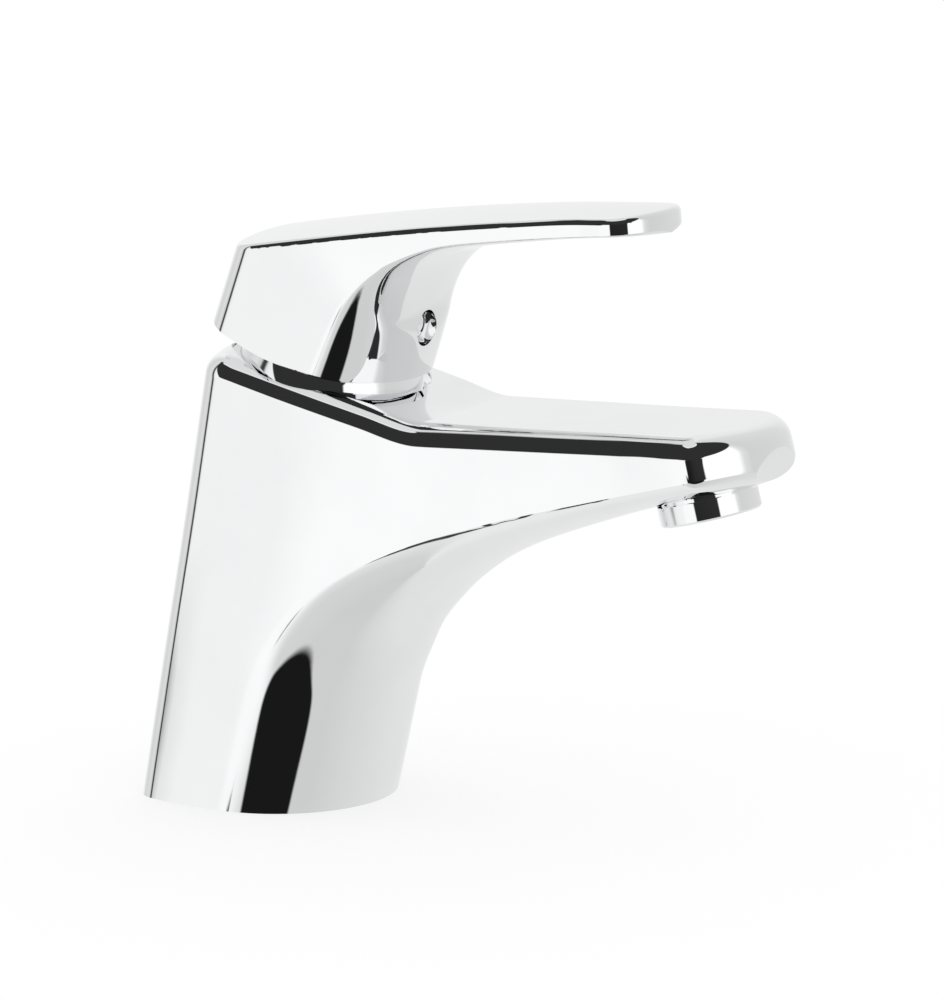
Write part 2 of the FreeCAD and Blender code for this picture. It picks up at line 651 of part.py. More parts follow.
dish_outline = (
    ("0", DISH_FLOOR),
    ("dish_radius - dish_depth / 2", DISH_FLOOR),
    ("dish_radius", "chamber_depth - dish_depth / 2"),
    ("dish_radius", "chamber_depth + run_out"),
    ("0", "chamber_depth + run_out"),
)
hollows = [
    turned("dish", CARTRIDGE, dish_outline),
    cylinder("chamber", CARTRIDGE, "cartridge_radius + chamber_clearance", "chamber_depth"),
    cylinder("nut_bore", CARTRIDGE, "nut_radius + thread_clearance", "nut_thread_length + dish_depth",
             up=DISH_FLOOR + " - nut_thread_length"),
    cylinder("base_hollow", DECK, "cavity_radius", "cavity_height + run_out", forward="cavity_forward",
             up="-run_out"),
    cylinder("stud_socket", DECK, "stud_thread_radius", "stud_thread_length + run_out",
             forward="-stud_back", up="cavity_height - run_out"),
    ring("seal_groove", DECK, "seal_inner_radius - seal_clearance", "seal_outer_radius + seal_clearance",
         "0", "seal_height + seat_gap"),
]
for side, sign in SIDES:
    place_y = sign + INLET_SIDE
    hollows += [
        cylinder("hose_socket_" + side, DECK, "hose_thread_radius", "hose_thread_length + run_out",
                 forward=HOSE_X, side=place_y, up="cavity_height - run_out"),
        cylinder("riser_" + side, DECK, "port_radius", HOSE_TOP + " - cavity_height",
                 forward=HOSE_X, side=place_y, up="cavity_height"),
        cylinder("inlet_" + side, CARTRIDGE, "port_radius", "port_radius + run_out",
                 forward=INLET_BACK, side=place_y, up="-port_radius"),
        cylinder("peg_hole_" + side, CARTRIDGE, "peg_radius + peg_clearance", "peg_length + run_out",
                 side=sign + "peg_offset", up="-peg_length - peg_clearance"),
    ]

# outlet port, the passage forward and the hollow spout
hollows.append(cylinder("outlet_drop", CARTRIDGE, "port_radius", "drop_length + run_out",
                        forward="port_circle", up="-drop_length"))
DROP_X = "(%s) + port_circle * cos(cartridge_tilt) - drop_length * sin(cartridge_tilt)" % FLOOR_X
DROP_Z = "(%s) - port_circle * sin(cartridge_tilt) - drop_length * cos(cartridge_tilt)" % FLOOR_Z
RUN_X = "(feed_aim_x - (%s))" % DROP_X
RUN_Z = "(core_root_floor + feed_radius / 2 - (%s))" % DROP_Z
FEED_LENGTH = "sqrt(%s * %s + %s * %s)" % (RUN_X, RUN_X, RUN_Z, RUN_Z)
FEED_LEAN = "atan(%s / %s) / 1 deg" % (RUN_X, RUN_Z)
hollows.append(cylinder("feed", DECK, "feed_radius", FEED_LENGTH,
                        forward=DROP_X, up=DROP_Z, turn=FEED_LEAN))
core = doc.addObject("Part::Wedge", "spout_hollow")
bind(core, Ymin="core_root_x", Ymax="reach - core_tip_back",
     Xmin="-core_root_width / 2", Xmax="core_root_width / 2",
     X2min="-core_tip_width / 2", X2max="core_tip_width / 2",
     Zmin="core_root_floor", Zmax="core_root_roof",
     Z2min="outlet_height + core_tip_floor", Z2max="outlet_height + core_tip_roof")
core.Placement = FreeCAD.Placement(V(0, 0, 0), FreeCAD.Rotation(V(0, 0, 1), -90))
hollows.append(core)
hollows += [
    cylinder("collar_recess", OUTLET, "collar_radius + collar_clearance",
             "collar_height + seat_gap + run_out", up="-run_out"),
    cylinder("aerator_thread", OUTLET, "neck_radius + thread_clearance",
             "neck_height + gasket_height + 2 * seat_gap", up="collar_height"),
    cylinder("outlet_way", OUTLET, "outlet_bore", "gasket_height + outlet_rise",
             up="collar_height + neck_height"),
]
body_casting = cut("body_casting", body_form, hollows)
base_seal = ring("base_seal", DECK, "seal_inner_radius", "seal_outer_radius", "0", "seal_height")

# Cartridge base with its seals and the fixed disc
DISC_FOOT = "base_height - disc_height"
SEAL_FOOT = DISC_FOOT + " - disc_seal_height"
base_outline = (
    ("0", "seat_gap"),
    ("cartridge_radius", "seat_gap"),
    ("cartridge_radius", "base_height"),
    ("disc_radius + seat_gap", "base_height"),
    ("disc_radius + seat_gap", SEAL_FOOT + " - seat_gap"),
    ("0", SEAL_FOOT + " - seat_gap"),
)
base_parts = [turned("base_cup", CARTRIDGE, base_outline)]
for side, sign in SIDES:
    base_parts.append(cylinder("peg_" + side, CARTRIDGE, "peg_radius", "peg_length + port_seal_height",
                               side=sign + "peg_offset", up="-peg_length"))


def port_holes(name, radius, height, up="0"):
    return [
        cylinder(name + "_" + side, CARTRIDGE, radius, height, forward=x, side=y, up=up)
        for side, x, y in PORTS
    ]


seal_pockets = port_holes("seal_pocket", "port_radius + port_seal_width + seal_clearance",
                          "port_seal_height + seat_gap")
cartridge_base = cut("cartridge_base", join("base_with_pegs", base_parts),
                     port_holes("base_port", "port_radius", "base_height") + seal_pockets)
port_seals = doc.addObject("Part::Compound", "port_seals")
port_seals.Links = [
    ring("port_seal_" + side, CARTRIDGE, "port_radius", "port_radius + port_seal_width",
         "seat_gap / 2", "port_seal_height", forward=x, side=y)
    for side, x, y in PORTS
]


def disc(name, radius, low, high, **where):
    return turned(name, CARTRIDGE, (("0", low), (radius, low), (radius, high), ("0", high)), **where)


disc_seal = cut("disc_seal",
                disc("disc_seal_blank", "disc_radius", SEAL_FOOT, DISC_FOOT + " - seat_gap"),
                port_holes("disc_seal_port", "port_radius", "base_height"))
fixed_disc = cut("fixed_disc", disc("fixed_disc_blank", "disc_radius", DISC_FOOT, "base_height"),
                 port_holes("fixed_disc_port", "port_radius", "base_height + run_out"))

# Moving disc and its carrier, which the stem's ball pushes along
SLIDER_FOOT = "base_height + slide_gap"
CARRIER_FOOT = SLIDER_FOOT + " + disc_height + seat_gap"
FLANGE_FOOT = CARRIER_FOOT + " + carrier_plate + slide_gap"
FLANGE_TOP = FLANGE_FOOT + " + turret_flange_height"
moving_disc = cut("moving_disc",
                  disc("moving_disc_blank", "slider_radius", SLIDER_FOOT, SLIDER_FOOT + " + disc_height",
                       forward="-slider_offset"),
                  [cylinder("slider_pocket", CARTRIDGE, "slider_pocket_radius",
                            "slider_pocket_depth + run_out", forward="-slider_offset",
                            up=SLIDER_FOOT + " - run_out")])
plate = disc("carrier_disc", "slider_radius", CARRIER_FOOT, CARRIER_FOOT + " + carrier_plate",
             forward="-slider_offset")
key = box("carrier_key", CARTRIDGE, "key_length", "key_width", "key_height + carrier_plate / 2",
          forward="-slider_offset - key_length / 2", side="-key_width / 2",
          up=CARRIER_FOOT + " + carrier_plate / 2")
disc_carrier = cut("disc_carrier", join("carrier_blank", [plate, key]),
                   [cylinder("ball_socket", CARTRIDGE, "ball_radius + slide_gap", "run_out",
                             up=CARRIER_FOOT + " + ball_seat")])

# Turret that turns with the lever, its pin and its seal
turret_outline = (
    ("0", FLANGE_FOOT),
    ("turret_flange_radius", FLANGE_FOOT),
    ("turret_flange_radius", FLANGE_TOP),
    ("turret_radius", FLANGE_TOP),
    ("turret_radius", "turret_seal_height"),
    ("turret_radius - turret_seal_depth", "turret_seal_height"),
    ("turret_radius - turret_seal_depth", "turret_seal_height + ring_groove_height"),
    ("turret_radius", "turret_seal_height + ring_groove_height"),
    ("turret_radius", "turret_top"),
    ("0", "turret_top"),
)


def cross_pin(name, radius, length):
    """A round bar along Y through the pivot."""
    item = doc.addObject("Part::Cylinder", name)
    bind(item, Radius=radius, Height=length)
    item.Placement = FreeCAD.Placement(V(0, 0, 0), FreeCAD.Rotation(V(1, 0, 0), -90))
    item.setExpression("Placement.Base.x", cells("%s + pivot_height * sin(cartridge_tilt)" % FLOOR_X))
    item.setExpression("Placement.Base.y", cells("-(%s) / 2" % length))
    item.setExpression("Placement.Base.z", cells("%s + pivot_height * cos(cartridge_tilt)" % FLOOR_Z))
    return item


key_groove = box("key_groove", CARTRIDGE, "4 * turret_flange_radius", "key_width + 2 * key_clearance",
                 "key_height + 2 * key_clearance", forward="-2 * turret_flange_radius",
                 side="-key_width / 2 - key_clearance", up=FLANGE_FOOT + " - key_clearance")
stem_slot = box("stem_slot", CARTRIDGE, "stem_slot_back + stem_slot_front",
                "stem_width + 2 * stem_slot_side", "turret_top",
                forward="-stem_slot_back", side="-stem_width / 2 - stem_slot_side",
                up=FLANGE_FOOT + " - key_clearance")
pin_hole = cross_pin("pin_hole", "pin_radius + seat_gap", "4 * turret_radius")
turret = cut("turret", turned("turret_blank", CARTRIDGE, turret_outline), [key_groove, stem_slot, pin_hole])
stem_pin = cross_pin("stem_pin", "pin_radius", "pin_length")
turret_seal = ring("turret_seal", CARTRIDGE, "turret_radius - turret_seal_depth + seat_gap",
                   "turret_radius", "turret_seal_height + seat_gap",
                   "turret_seal_height + ring_groove_height - seat_gap")

# Cartridge housing, its seal, the temperature limit ring, slip washer and retaining nut
NECK_RADIUS = "turret_radius + slide_gap + neck_wall"
housing_outline = (
    ("cartridge_radius - housing_wall", "base_height + seat_gap"),
    ("cartridge_radius", "base_height + seat_gap"),
    ("cartridge_radius", "chamber_seal_height"),
    ("cartridge_radius - chamber_seal_depth", "chamber_seal_height"),
    ("cartridge_radius - chamber_seal_depth", "chamber_seal_height + ring_groove_height"),
    ("cartridge_radius", "chamber_seal_height + ring_groove_height"),
    ("cartridge_radius", "shoulder_height"),
    (NECK_RADIUS, "shoulder_height"),
    (NECK_RADIUS, "neck_top"),
    ("turret_radius + slide_gap", "neck_top"),
    ("turret_radius + slide_gap", FLANGE_TOP + " + slide_gap"),
    ("cartridge_radius - housing_wall", FLANGE_TOP + " + slide_gap"),
)
cartridge_housing = turned("cartridge_housing", CARTRIDGE, housing_outline)
chamber_seal = ring("chamber_seal", CARTRIDGE, "cartridge_radius - chamber_seal_depth + seat_gap",
                    "cartridge_radius + chamber_clearance - seat_gap", "chamber_seal_height + seat_gap",
                    "chamber_seal_height + ring_groove_height - seat_gap")
limit_ring = ring("limit_ring", CARTRIDGE, "turret_radius + cover_gap", NECK_RADIUS,
                  "neck_top + seat_gap", "neck_top + limit_ring_height")
slip_washer = ring("slip_washer", CARTRIDGE, NECK_RADIUS + " + chamber_clearance",
                   "cartridge_radius - chamber_clearance", "shoulder_height + seat_gap",
                   "shoulder_height + washer_height")
NUT_FOOT = DISH_FLOOR + " - nut_thread_length + seat_gap"
NUT_WEB = "shoulder_height + washer_height + seat_gap"
NUT_TOP = DISH_FLOOR + " + seat_gap + dome_lip"
nut_outline = (
    ("cartridge_radius + 2 * thread_clearance", NUT_FOOT),
    ("nut_radius", NUT_FOOT),
    ("nut_radius", NUT_TOP),
    (NECK_RADIUS + " + chamber_clearance", NUT_TOP),
    (NECK_RADIUS + " + chamber_clearance", NUT_WEB),
    ("cartridge_radius + 2 * thread_clearance", NUT_WEB),
)
hexagon = doc.addObject("Part::Prism", "nut_hexagon")
hexagon.Polygon = 6
bind(hexagon, Circumradius="nut_hex / 2 / cos(30)", Height="nut_hex_height + dome_lip / 2")
place(hexagon, CARTRIDGE, up=NUT_TOP + " - dome_lip / 2")
nut_eye = cylinder("nut_eye", CARTRIDGE, NECK_RADIUS + " + chamber_clearance", "chamber_depth", up=NUT_WEB)
nut_blank = join("nut_blank", [turned("nut_ring", CARTRIDGE, nut_outline), hexagon])
retaining_nut = cut("retaining_nut", nut_blank, [nut_eye])


# Dome ring: a ball zone about the pivot, so the lever slides over it with an even gap
def ball(name, radius, forward="0", up="pivot_height"):
    item = doc.addObject("Part::Sphere", name)
    bind(item, Radius=radius)
    return place(item, CARTRIDGE, forward=forward, up=up)


dome_shell = cut("dome_shell", ball("dome_outside", "dome_radius"), [
    ball("dome_inside", "dome_radius - dome_wall"),
    cylinder("dome_foot", CARTRIDGE, "2 * dome_radius", "2 * dome_radius",
             up=DISH_FLOOR + " + seat_gap - 2 * dome_radius"),
    cylinder("dome_opening", CARTRIDGE, "dome_mouth", "dome_radius", up="pivot_height"),
])
lip = ring("dome_lip_ring", CARTRIDGE, "nut_radius + thread_clearance",
           "dome_radius - dome_wall / 2 - seat_gap", DISH_FLOOR + " + seat_gap", NUT_TOP)
dome_trim = doc.addObject("Part::MultiCommon", "dome_lip_trim")
dome_trim.Shapes = [lip, ball("dome_lip_ball", "dome_radius - dome_wall / 2")]
dome_ring = join("dome_ring", [dome_shell, dome_trim])

# Lever, its stem, set screw and index plug
lever_blank = cut("lever_blank", lever_form, [
    ball("lever_hollow", "dome_radius + cover_gap"),
    cylinder("lever_core", CARTRIDGE, "lever_core_radius", "lever_core_top - boss_foot", up="boss_foot"),
])
boss = cylinder("stem_boss", CARTRIDGE, "boss_radius", "lever_core_top + seat_gap - boss_foot",
                up="boss_foot")
SOCKET = "stem_width + 2 * socket_clearance"
lever_handle = cut("lever_handle", join("lever_with_boss", [lever_blank, boss]), [
    box("stem_socket", CARTRIDGE, SOCKET, SOCKET, "stem_top + seat_gap - boss_foot + run_out",
        forward="-stem_width / 2 - socket_clearance", side="-stem_width / 2 - socket_clearance",
        up="boss_foot - run_out"),
    cylinder("screw_hole", CARTRIDGE, "screw_radius + thread_clearance", "plug_seat",
             up="screw_height", turn="90"),
    cylinder("plug_hole", CARTRIDGE, "plug_radius + plug_clearance", "plug_seat", forward="plug_seat",
             up="screw_height", turn="90"),
])
stem_blank = join("stem_blank", [
    box("stem_square", CARTRIDGE, "stem_width", "stem_width", "stem_top - stem_square_foot",
        forward="-stem_width / 2", side="-stem_width / 2", up="stem_square_foot"),
    cylinder("stem_shaft", CARTRIDGE, "stem_width / 2 - stem_slot_side",
             "stem_square_foot + stem_neck - ball_height - ball_radius", up="ball_height + ball_radius"),
    cylinder("stem_waist", CARTRIDGE, "stem_neck", "2 * ball_radius", up="ball_height"),
    ball("stem_ball", "ball_radius", up="ball_height"),
])
stem_eye = cross_pin("stem_eye", "pin_radius + slide_gap", "2 * stem_width")
lever_stem = cut("lever_stem", stem_blank, [stem_eye])
SCREW_FOOT = "stem_width / 2 + seat_gap"
screw_blank = cylinder("screw_blank", CARTRIDGE, "screw_radius", "screw_length", forward=SCREW_FOOT,
                       up="screw_height", turn="90")
screw_key = cylinder("screw_key", CARTRIDGE, "screw_key_radius", "screw_key_depth + run_out",
                     forward=SCREW_FOOT + " + screw_length - screw_key_depth",
                     up="screw_height", turn="90")
set_screw = cut("set_screw", screw_blank, [screw_key])
index_plug = doc.addObject("Part::MultiCommon", "index_plug")
index_plug.Shapes = [
    cylinder("plug_blank", CARTRIDGE, "plug_radius", "plug_length", forward="plug_seat + seat_gap",
             up="screw_height", turn="90"),
    ball("plug_ball", "plug_dome", forward="plug_seat + seat_gap + plug_length - plug_dome",
         up="screw_height"),
]

# Aerator in the outlet
collar_outline = (
    ("aerator_lip_radius", "0"),
    ("collar_radius - collar_edge", "0"),
    ("collar_radius", "collar_edge"),
    ("collar_radius", "collar_height"),
    ("neck_radius", "collar_height"),
    ("neck_radius", "collar_height + neck_height"),
    ("aerator_bore", "collar_height + neck_height"),
    ("aerator_bore", "aerator_lip_height"),
    ("aerator_lip_radius", "aerator_lip_height"),
)
aerator_housing = turned("aerator_housing", OUTLET, collar_outline)
INNER_CELLS = 6
OUTER_CELLS = 12
CELL_ROWS = (("cell_inner_circle", INNER_CELLS), ("cell_outer_circle", OUTER_CELLS))
INSERT_RADIUS = "aerator_bore - insert_clearance"
INSERT_FOOT = "aerator_lip_height + seat_gap"
SCREEN_FOOT = INSERT_FOOT + " + insert_height + seat_gap"
REGULATOR_FOOT = SCREEN_FOOT + " + screen_height + seat_gap"


def cell_holes(name, radius, low, height):
    holes = [cylinder(name + "_middle", OUTLET, radius, height, up=low)]
    for circle, count in CELL_ROWS:
        for i in range(count):
            angle = 360 * i / count
            holes.append(cylinder("%s_%s_%d" % (name, circle, i), OUTLET, radius, height,
                                  forward="%s * cos(%g)" % (circle, angle),
                                  side="%s * sin(%g)" % (circle, angle), up=low))
    return holes


def aerator_disc(name, low, height):
    high = low + " + " + height
    outline = (("0", low), (INSERT_RADIUS, low), (INSERT_RADIUS, high), ("0", high))
    return turned(name, OUTLET, outline)


aerator_insert = cut("aerator_insert", aerator_disc("insert_blank", INSERT_FOOT, "insert_height"),
                     cell_holes("cell", "cell_radius", "0", "run_out"))
aerator_screen = cut("aerator_screen", aerator_disc("screen_blank", SCREEN_FOOT, "screen_height"),
                     cell_holes("screen_hole", "screen_hole_radius", "0", "2 * run_out"))
flow_regulator = ring("flow_regulator", OUTLET, "regulator_bore", INSERT_RADIUS, REGULATOR_FOOT,
                      REGULATOR_FOOT + " + regulator_height")
GASKET_FOOT = "collar_height + neck_height + seat_gap"
aerator_gasket = ring("aerator_gasket", OUTLET, "gasket_bore", "neck_radius - insert_clearance",
                      GASKET_FOOT, GASKET_FOOT + " + gasket_height")

NODES = (
    body_casting, base_seal, cartridge_base, port_seals, disc_seal, fixed_disc, moving_disc,
    disc_carrier, turret, stem_pin, turret_seal, cartridge_housing, chamber_seal, limit_ring,
    slip_washer, retaining_nut, dome_ring, lever_handle, lever_stem, set_screw, index_plug,
    aerator_housing, aerator_insert, aerator_screen, flow_regulator, aerator_gasket,
)

doc.recompute()
for item in doc.Objects:
    if "Invalid" in item.State or "Error" in item.State:
        raise RuntimeError("%s did not build: %s" % (item.Label, item.State))
os.makedirs("parts", exist_ok=True)
for item in NODES:
    shape = item.Shape
    if shape.isNull() or not shape.isValid():
        raise RuntimeError("%s has no sound shape" % item.Label)
    shape.exportStep("parts/%s.step" % item.Label)
    print("%-18s %2d solid %10.1f mm3" % (item.Label, len(shape.Solids), shape.Volume))
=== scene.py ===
import json
import math

import bpy
import numpy as np
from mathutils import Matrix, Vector


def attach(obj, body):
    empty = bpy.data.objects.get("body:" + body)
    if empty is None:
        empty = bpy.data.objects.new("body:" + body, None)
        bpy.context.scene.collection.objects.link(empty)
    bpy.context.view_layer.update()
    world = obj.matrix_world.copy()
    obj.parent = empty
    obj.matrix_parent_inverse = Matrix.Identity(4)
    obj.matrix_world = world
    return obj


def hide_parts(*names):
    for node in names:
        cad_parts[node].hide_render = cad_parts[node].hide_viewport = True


# Single-lever basin mixer in polished chrome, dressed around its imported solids. Metres and degrees.
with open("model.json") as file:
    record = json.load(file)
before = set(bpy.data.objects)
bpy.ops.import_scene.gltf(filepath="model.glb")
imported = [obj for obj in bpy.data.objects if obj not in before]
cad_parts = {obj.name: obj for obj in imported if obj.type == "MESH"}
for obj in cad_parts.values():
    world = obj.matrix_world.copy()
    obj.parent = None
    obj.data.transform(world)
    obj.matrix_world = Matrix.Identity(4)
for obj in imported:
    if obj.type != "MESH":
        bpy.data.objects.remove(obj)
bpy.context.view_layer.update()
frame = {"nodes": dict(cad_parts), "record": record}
nodes = frame["nodes"]

# The photograph's viewpoint
CAMERA_AT = Vector((0.8520, -1.3591, 0.4054))
CAMERA_AIM = Vector((0.0400, 0.0219, 0.0708))
CAMERA_LENS_MM = 245.4
CAMERA_SENSOR_MM = 36.0
CAMERA_SEES_TO = 100

# A pale floor just under the foot, which glows a little so that it stays near white
FLOOR_RADIUS = 8.0
FLOOR_SIDES = 96
FLOOR_GAP = 0.00005
FLOOR_WHITE = 0.28
FLOOR_GLOW = 0.73
FLOOR_ROUGHNESS = 0.9

# The colour sockets of Blender's Mix node
MIX_FIRST = 6
MIX_SECOND = 7
MIX_RESULT = 2


class Nodes:
    """A small helper that adds shader nodes and joins them."""

    def __init__(self, tree):
        self.tree = tree
        tree.nodes.clear()

    def add(self, kind, **settings):
        node = self.tree.nodes.new(kind)
        for name, value in settings.items():
            setattr(node, name, value)
        return node

    def link(self, source, target):
        self.tree.links.new(source, target)

    def feed(self, target, value):
        """Link a socket, or set a plain number or colour."""
        if isinstance(value, bpy.types.NodeSocket):
            self.link(value, target)
        else:
            target.default_value = value

    def math(self, operation, *values):
        node = self.add("ShaderNodeMath", operation=operation)
        for socket, value in zip(node.inputs, values):
            self.feed(socket, value)
        return node.outputs[0]

    def dot(self, vector, other):
        node = self.add("ShaderNodeVectorMath", operation="DOT_PRODUCT")
        self.link(vector, node.inputs[0])
        node.inputs[1].default_value = other
        return node.outputs["Value"]

    def ramp(self, factor, stops):
        """Greys along 0..1, with straight changes between the stops."""
        node = self.add("ShaderNodeValToRGB")
        node.color_ramp.interpolation = "LINEAR"
        elements = node.color_ramp.elements
        while len(elements) < len(stops):
            elements.new(1.0)
        for element, (at, grey) in zip(elements, stops):
            element.position = at
            element.color = (grey, grey, grey, 1.0)
        self.link(factor, node.inputs["Fac"])
        return node.outputs["Color"]

    def step(self, value, low, high):
        """0 below low, 1 above high, eased between."""
        node = self.add("ShaderNodeMapRange", interpolation_type="SMOOTHSTEP")
        self.link(value, node.inputs["Value"])
        node.inputs["From Min"].default_value = low
        node.inputs["From Max"].default_value = high
        return node.outputs["Result"]

    def mix(self, factor, first, second):
        node = self.add("ShaderNodeMix", data_type="RGBA")
        self.feed(node.inputs["Factor"], factor)
        self.feed(node.inputs[MIX_FIRST], first)
        self.feed(node.inputs[MIX_SECOND], second)
        return node.outputs[MIX_RESULT]


# Studio surroundings, as the chrome mirrors them. Turns are measured from the camera's side of the
# object: 0 towards the camera, minus to its left, plus to its right. Heights are above the horizon.
FULL_TURN = 360
DEGREES = 180 / math.pi

# Walls and ground round the object, as pairs of a turn and a brightness. The dark pair in the walls is a
# narrow black panel at the left.
WALLS = (
    (-180, 0.90), (-165, 0.98), (-150, 0.90), (-137, 0.76), (-124, 0.72), (-107, 0.80), (-98, 0.68),
    (-94, 0.05), (-89, 0.05),
    (-85, 0.86), (-78, 0.97), (-63, 0.98), (-56, 1.06), (-40, 1.06), (0, 1.12), (60, 1.12), (66, 0.80),
    (75, 0.70), (105, 0.73), (150, 0.78), (168, 0.88), (180, 0.90),
)
GROUND = (
    (-180, 0.84), (-75, 0.88), (-52, 0.90), (-40, 0.72), (-15, 0.68), (30, 0.68), (60, 0.74), (120, 0.82),
    (180, 0.84),
)
GROUND_BELOW = (-21, -14)
CEILING = 0.78

# One black screen hangs before the object. Its lower edge dips, its right edge leans away with height, and
# the ceiling shows above it.
SCREEN_DARK = 0.010
SCREEN_GREY = 0.030
SCREEN_GREYS_FROM = (-20, 10)
SCREEN_LOWEST = -39.5
SCREEN_DIP_AT = -8.5
SCREEN_DIP_WIDTH = 6.6
SCREEN_LEFT = -132
SCREEN_RIGHT = 21
SCREEN_LEAN = 1.2
SCREEN_LEANS_ABOVE = 10
SCREEN_TOP = 59
SCREEN_TOP_RISE = 0.3
SCREEN_TOP_RISES_FROM = -40
SCREEN_EDGE = 3.0

# A gap in the screen's left half shows the white wall along the horizon; what hangs above the gap is cut
# back at a slant further left.
GAP_BOTTOM = -15
GAP_TOP = -2
GAP_RIGHT = -32
SLANT_FROM = -59
SLANT = 1.2

# A thin dark post stands at the left, below the horizon. It draws the fine line under the spout's side.
POST_LEFT = -52.6
POST_RIGHT = -48.6
POST_TOP = -15.6
POST_BOTTOM = -36
POST_EDGE = 1.0
POST_DARK = 0.05


def ring(studio, turn, stops):
    """Light and dark panels round the object."""
    share = studio.math("MULTIPLY_ADD", turn, 1 / FULL_TURN, 0.5)
    return studio.ramp(share, [(angle / FULL_TURN + 0.5, bright) for angle, bright in stops])


def above(studio, value, limit, edge=SCREEN_EDGE):
    """1 where the value is past the limit, with a soft edge."""
    return studio.step(studio.math("SUBTRACT", value, limit), 0, edge)


def past(studio, value, start):
    """How far the value is past the start, or 0 before it."""
    return studio.math("MAXIMUM", studio.math("SUBTRACT", value, start), 0.0)


def grey(value):
    return (value, value, value, 1)


def make_surroundings():
    world = bpy.data.worlds.new("studio")
    bpy.context.scene.world = world
    world.use_nodes = True
    studio = Nodes(world.node_tree)
    towards = CAMERA_AT - CAMERA_AIM
    towards.z = 0
    towards.normalize()
    right = Vector((-towards.y, towards.x, 0))
    direction = studio.add("ShaderNodeTexCoord").outputs["Generated"]
    turn = studio.math("ARCTAN2", studio.dot(direction, right), studio.dot(direction, towards))
    turn = studio.math("MULTIPLY", turn, DEGREES)
    height = studio.math("ARCSINE", studio.dot(direction, (0, 0, 1)))
    height = studio.math("MULTIPLY", height, DEGREES)

    # The black screen with its gap
    dip = studio.math("DIVIDE", studio.math("SUBTRACT", turn, SCREEN_DIP_AT), SCREEN_DIP_WIDTH)
    bottom = studio.math("MULTIPLY_ADD", dip, dip, SCREEN_LOWEST)
    leaning = past(studio, height, SCREEN_LEANS_ABOVE)
    side = studio.math("MULTIPLY_ADD", leaning, SCREEN_LEAN, SCREEN_RIGHT)
    rising = past(studio, turn, SCREEN_TOP_RISES_FROM)
    top = studio.math("MULTIPLY_ADD", rising, SCREEN_TOP_RISE, SCREEN_TOP)
    slant = studio.math("MULTIPLY", past(studio, SLANT_FROM, turn), SLANT)
    upper = above(studio, height, studio.math("ADD", slant, GAP_TOP))
    gap = studio.math("MULTIPLY", above(studio, height, GAP_BOTTOM), above(studio, GAP_RIGHT, turn))
    lower = studio.math("MULTIPLY", above(studio, height, bottom), studio.math("SUBTRACT", 1.0, gap))
    screen = studio.math("MAXIMUM", upper, lower)
    for value, limit in ((side, turn), (top, height), (turn, SCREEN_LEFT)):
        screen = studio.math("MULTIPLY", screen, above(studio, value, limit))
    dark = studio.mix(studio.step(height, *SCREEN_GREYS_FROM), grey(SCREEN_DARK), grey(SCREEN_GREY))

    # Ground, walls and ceiling, with the post and the screen before them
    ground, walls = (ring(studio, turn, stops) for stops in (GROUND, WALLS))
    walls = studio.mix(studio.step(height, *GROUND_BELOW), ground, walls)
    panels = studio.mix(above(studio, height, top), walls, grey(CEILING))
    post = above(studio, turn, POST_LEFT, POST_EDGE)
    for value, limit in ((POST_RIGHT, turn), (POST_TOP, height), (height, POST_BOTTOM)):
        post = studio.math("MULTIPLY", post, above(studio, value, limit, POST_EDGE))
    panels = studio.mix(post, panels, grey(POST_DARK))
    panels = studio.mix(screen, panels, dark)

    # Mirrors see the panels; everything else gets plain white light
    path = studio.add("ShaderNodeLightPath")
    seen = studio.mix(path.outputs["Is Glossy Ray"], grey(1), panels)
    light = studio.add("ShaderNodeBackground")
    studio.link(seen, light.inputs["Color"])
    studio.link(light.outputs[0], studio.add("ShaderNodeOutputWorld").inputs["Surface"])


def make_camera():
    data = bpy.data.cameras.new("camera")
    data.sensor_fit = "AUTO"
    data.sensor_width = CAMERA_SENSOR_MM
    data.lens = CAMERA_LENS_MM
    data.clip_end = CAMERA_SEES_TO
    camera = bpy.data.objects.new("camera", data)
    camera.location = CAMERA_AT
    camera.rotation_euler = (CAMERA_AIM - CAMERA_AT).to_track_quat("-Z", "Y").to_euler()
    bpy.context.scene.collection.objects.link(camera)
    bpy.context.scene.camera = camera


def make_floor():
    """A pale round floor that the chrome doesn't mirror."""
    angles = [i * math.tau / FLOOR_SIDES for i in range(FLOOR_SIDES)]
    rim = [(FLOOR_RADIUS * math.cos(a), FLOOR_RADIUS * math.sin(a), -FLOOR_GAP) for a in angles]
    mesh = bpy.data.meshes.new("floor")
    mesh.from_pydata(rim, [], [list(range(FLOOR_SIDES))])
    floor = bpy.data.objects.new("floor", mesh)
    floor.visible_glossy = False
    bpy.context.scene.collection.objects.link(floor)
    material = bpy.data.materials.new("floor_white")
    material.use_nodes = True
    paint = material.node_tree.nodes["Principled BSDF"]
    paint.inputs["Base Color"].default_value = grey(FLOOR_WHITE)
    paint.inputs["Emission Color"].default_value = grey(1)
    paint.inputs["Emission Strength"].default_value = FLOOR_GLOW
    paint.inputs["Roughness"].default_value = FLOOR_ROUGHNESS
    paint.inputs["Specular IOR Level"].default_value = 0.0
    mesh.materials.append(material)


# Chrome: a mirror with a faint haze of handling and the least waviness of a cast surface
CHROME_CLEAN = (0.90, 0.905, 0.91, 1)
CHROME_HAZED = (0.88, 0.885, 0.89, 1)
CHROME_ROUGHNESS = 0.012
HAZE_ROUGHNESS = 0.03
HAZE_CELLS = 55
HAZE_DETAIL = 4
HAZE_COLOURS = (0.35, 0.75)
HAZE_ROUGHENS = (0.45, 0.8)
WAVE_CELLS = 160
WAVE_DETAIL = 1
WAVE_DEPTH = 0.000004

